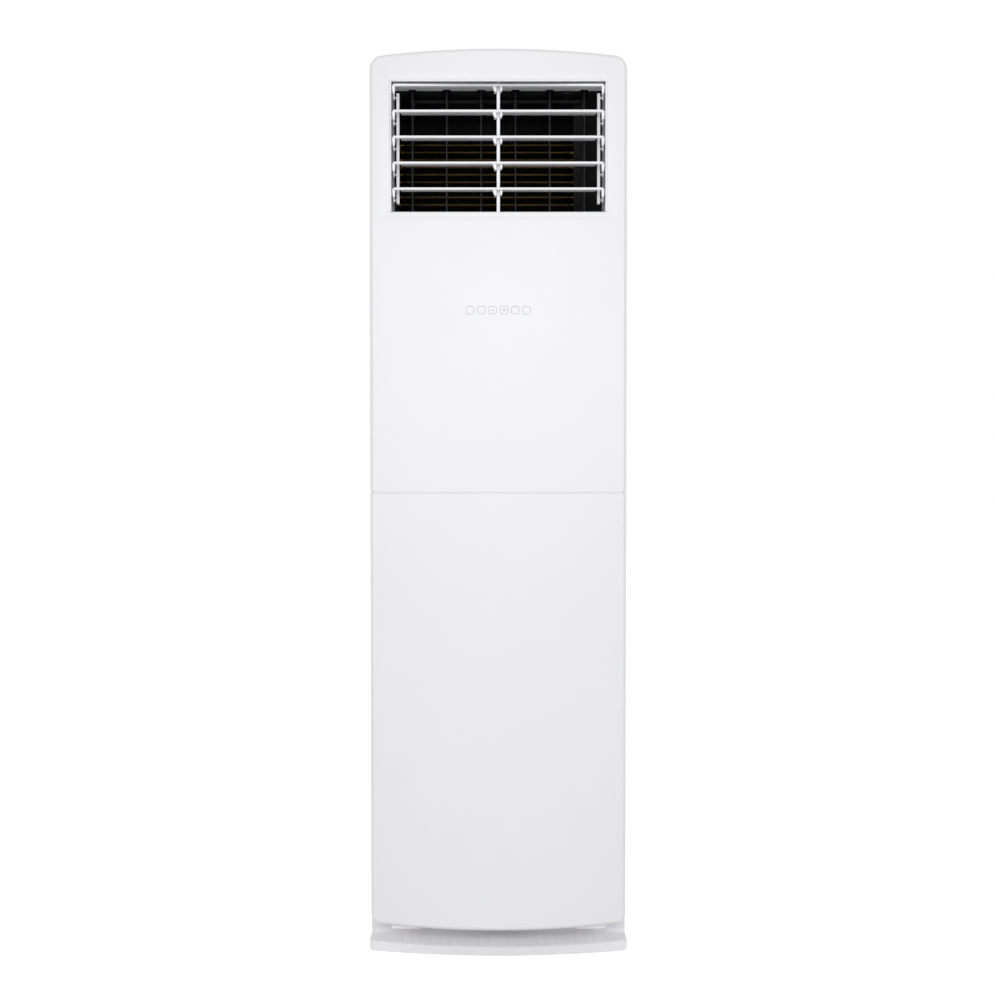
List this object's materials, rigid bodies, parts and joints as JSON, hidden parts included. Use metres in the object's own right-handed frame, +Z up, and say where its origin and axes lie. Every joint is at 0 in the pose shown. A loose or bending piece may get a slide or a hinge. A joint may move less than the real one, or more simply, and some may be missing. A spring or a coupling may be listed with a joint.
{
  "type": "floor standing air conditioner",
  "caption": "Tall slim indoor air conditioner with a bowed front, tilting louvers and swinging vanes in a top outlet, a hinged lower panel, side intake grilles and a low plinth.",
  "frame": {"origin": "on the floor, under the middle of the object's box", "axes": "+Z up, front faces -Y, +X to the right seen from the front"},
  "size_m": [0.507, 0.318, 1.75],
  "materials": {
    "white_panel": "satin moulded",
    "white_trim": "fine moulded grain",
    "key_print": "printed",
    "cabinet_paint": "powder coat",
    "zinc_sheet": "galvanised",
    "duct_grey": "moulded",
    "vane_black": "moulded",
    "motor_metal": "painted",
    "steel": "zinc plated",
    "fin_aluminium": "rolled sheet",
    "copper": "drawn tube",
    "brass": "turned",
    "tray_plastic": "moulded",
    "hose_rubber": "moulded",
    "board_green": "solder mask",
    "terminal_plastic": "moulded",
    "filter_mesh": "woven mesh"
  },
  "bodies": {
    "cabinet": {"air_guide_panel": "zinc_sheet", "back_panel": "cabinet_paint", "base_pan": "zinc_sheet", "blower_deck": "zinc_sheet", "blower_front_plate": "zinc_sheet", "blower_housing": "zinc_sheet", "blower_motor": "motor_metal", "cabinet_screws": "steel", "cable_gland": "hose_rubber", "display_board": "board_green", "drain_hose": "hose_rubber", "drain_tray": "tray_plastic", "electrical_box": "zinc_sheet", "electrical_box_cover": "zinc_sheet", "evaporator_end_plates": "zinc_sheet", "evaporator_fins": "fin_aluminium", "evaporator_tubes": "copper", "flare_nuts": "brass", "gas_pipe": "copper", "liquid_pipe": "copper", "louver_motor": "motor_metal", "main_board": "board_green", "outlet_centre_rib": "white_trim", "outlet_duct": "duct_grey", "panel_support_tabs": "white_trim", "pipe_grommet": "hose_rubber", "plinth": "white_trim", "side_panel_left": "cabinet_paint", "side_panel_right": "cabinet_paint", "swing_motor": "motor_metal", "terminal_block": "terminal_plastic", "top_cover": "white_trim", "touch_key_outlines": "key_print", "upper_front_panel": "white_panel", "vane_rail_bottom": "vane_black", "vane_rail_top": "vane_black"},
    "lower_front_panel": {"lower_front_panel": "white_panel", "lower_panel_hinge_pins": "steel"},
    "blower": {"blower_wheel": "vane_black", "blower_shaft": "steel"},
    "intake_left": {"intake_grille_left": "white_trim", "air_filter_left": "filter_mesh"},
    "intake_right": {"intake_grille_right": "white_trim", "air_filter_right": "filter_mesh"},
    "louver_link_left": {"louver_link_left": "white_trim"},
    "louver_link_right": {"louver_link_right": "white_trim"},
    "vane_tie_bar": {"vane_tie_bar": "vane_black"},
    "swing_crank": {"swing_crank": "vane_black"},
    "louver_1": {"louver_1": "white_trim"},
    "louver_2": {"louver_2": "white_trim"},
    "louver_3": {"louver_3": "white_trim"},
    "louver_4": {"louver_4": "white_trim"},
    "louver_5": {"louver_5": "white_trim"},
    "vane_1": {"vane_1": "vane_black"},
    "vane_2": {"vane_2": "vane_black"},
    "vane_3": {"vane_3": "vane_black"},
    "vane_4": {"vane_4": "vane_black"},
    "vane_5": {"vane_5": "vane_black"},
    "vane_6": {"vane_6": "vane_black"}
  },
  "joints": [
    {"name": "lower_panel_tilt", "type": "hinge", "parent": "cabinet", "child": "lower_front_panel", "pos_m": [0, -0.118, 0.0475], "axis": [1, 0, 0], "range_deg": [0, 25]},
    {"name": "blower_spin", "type": "hinge", "parent": "cabinet", "child": "blower", "pos_m": [0.005, 0.12, 0.47], "axis": [0, 1, 0], "continuous": true},
    {"name": "intake_left_pull", "type": "slide", "parent": "cabinet", "child": "intake_left", "axis": [-1, 0, 0], "range_m": [0, 0.04]},
    {"name": "intake_right_pull", "type": "slide", "parent": "cabinet", "child": "intake_right", "axis": [1, 0, 0], "range_m": [0, 0.04]},
    {"name": "louver_1_tilt", "type": "hinge", "parent": "cabinet", "child": "louver_1", "pos_m": [0, -0.11599, 1.6825], "axis": [1, 0, 0], "range_deg": [-20, 25]},
    {"name": "louver_2_tilt", "type": "hinge", "parent": "cabinet", "child": "louver_2", "pos_m": [0, -0.11599, 1.6326], "axis": [1, 0, 0], "range_deg": [-20, 25]},
    {"name": "louver_3_tilt", "type": "hinge", "parent": "cabinet", "child": "louver_3", "pos_m": [0, -0.11599, 1.5827], "axis": [1, 0, 0], "range_deg": [-20, 25]},
    {"name": "louver_4_tilt", "type": "hinge", "parent": "cabinet", "child": "louver_4", "pos_m": [0, -0.11599, 1.5328], "axis": [1, 0, 0], "range_deg": [-20, 25]},
    {"name": "louver_5_tilt", "type": "hinge", "parent": "cabinet", "child": "louver_5", "pos_m": [0, -0.11599, 1.4829], "axis": [1, 0, 0], "range_deg": [-20, 25]},
    {"name": "louver_link_left_pivot", "type": "hinge", "parent": "louver_1", "child": "louver_link_left", "pos_m": [-0.1966, -0.10099, 1.6755], "axis": [1, 0, 0], "range_deg": [-25, 20]},
    {"name": "louver_link_right_pivot", "type": "hinge", "parent": "louver_1", "child": "louver_link_right", "pos_m": [0.1966, -0.10099, 1.6755], "axis": [1, 0, 0], "range_deg": [-25, 20]},
    {"name": "vane_1_swing", "type": "hinge", "parent": "cabinet", "child": "vane_1", "pos_m": [-0.171, -0.06198, 1.57], "axis": [0, 0, 1], "range_deg": [-30, 30]},
    {"name": "vane_2_swing", "type": "hinge", "parent": "cabinet", "child": "vane_2", "pos_m": [-0.1026, -0.06198, 1.57], "axis": [0, 0, 1], "range_deg": [-30, 30]},
    {"name": "vane_3_swing", "type": "hinge", "parent": "cabinet", "child": "vane_3", "pos_m": [-0.0342, -0.06198, 1.57], "axis": [0, 0, 1], "range_deg": [-30, 30]},
    {"name": "vane_4_swing", "type": "hinge", "parent": "cabinet", "child": "vane_4", "pos_m": [0.0342, -0.06198, 1.57], "axis": [0, 0, 1], "range_deg": [-30, 30]},
    {"name": "vane_5_swing", "type": "hinge", "parent": "cabinet", "child": "vane_5", "pos_m": [0.1026, -0.06198, 1.57], "axis": [0, 0, 1], "range_deg": [-30, 30]},
    {"name": "vane_6_swing", "type": "hinge", "parent": "cabinet", "child": "vane_6", "pos_m": [0.171, -0.06198, 1.57], "axis": [0, 0, 1], "range_deg": [-30, 30]},
    {"name": "vane_tie_bar_pivot", "type": "hinge", "parent": "vane_1", "child": "vane_tie_bar", "pos_m": [-0.171, -0.04399, 1.6885], "axis": [0, 0, 1], "range_deg": [-30, 30]},
    {"name": "swing_crank_turn", "type": "hinge", "parent": "cabinet", "child": "swing_crank", "pos_m": [0.1368, -0.06198, 1.7], "axis": [0, 0, 1], "range_deg": [-30, 30]}
  ],
  "couplings": [
    {"joint": "louver_2_tilt", "follows": "louver_1_tilt", "ratio": 1},
    {"joint": "louver_3_tilt", "follows": "louver_1_tilt", "ratio": 1},
    {"joint": "louver_4_tilt", "follows": "louver_1_tilt", "ratio": 1},
    {"joint": "louver_5_tilt", "follows": "louver_1_tilt", "ratio": 1},
    {"joint": "louver_link_left_pivot", "follows": "louver_1_tilt", "ratio": -1},
    {"joint": "louver_link_right_pivot", "follows": "louver_1_tilt", "ratio": -1},
    {"joint": "vane_2_swing", "follows": "vane_1_swing", "ratio": 1},
    {"joint": "vane_3_swing", "follows": "vane_1_swing", "ratio": 1},
    {"joint": "vane_4_swing", "follows": "vane_1_swing", "ratio": 1},
    {"joint": "vane_5_swing", "follows": "vane_1_swing", "ratio": 1},
    {"joint": "vane_6_swing", "follows": "vane_1_swing", "ratio": 1},
    {"joint": "vane_tie_bar_pivot", "follows": "vane_1_swing", "ratio": -1},
    {"joint": "swing_crank_turn", "follows": "vane_1_swing", "ratio": 1}
  ]
}
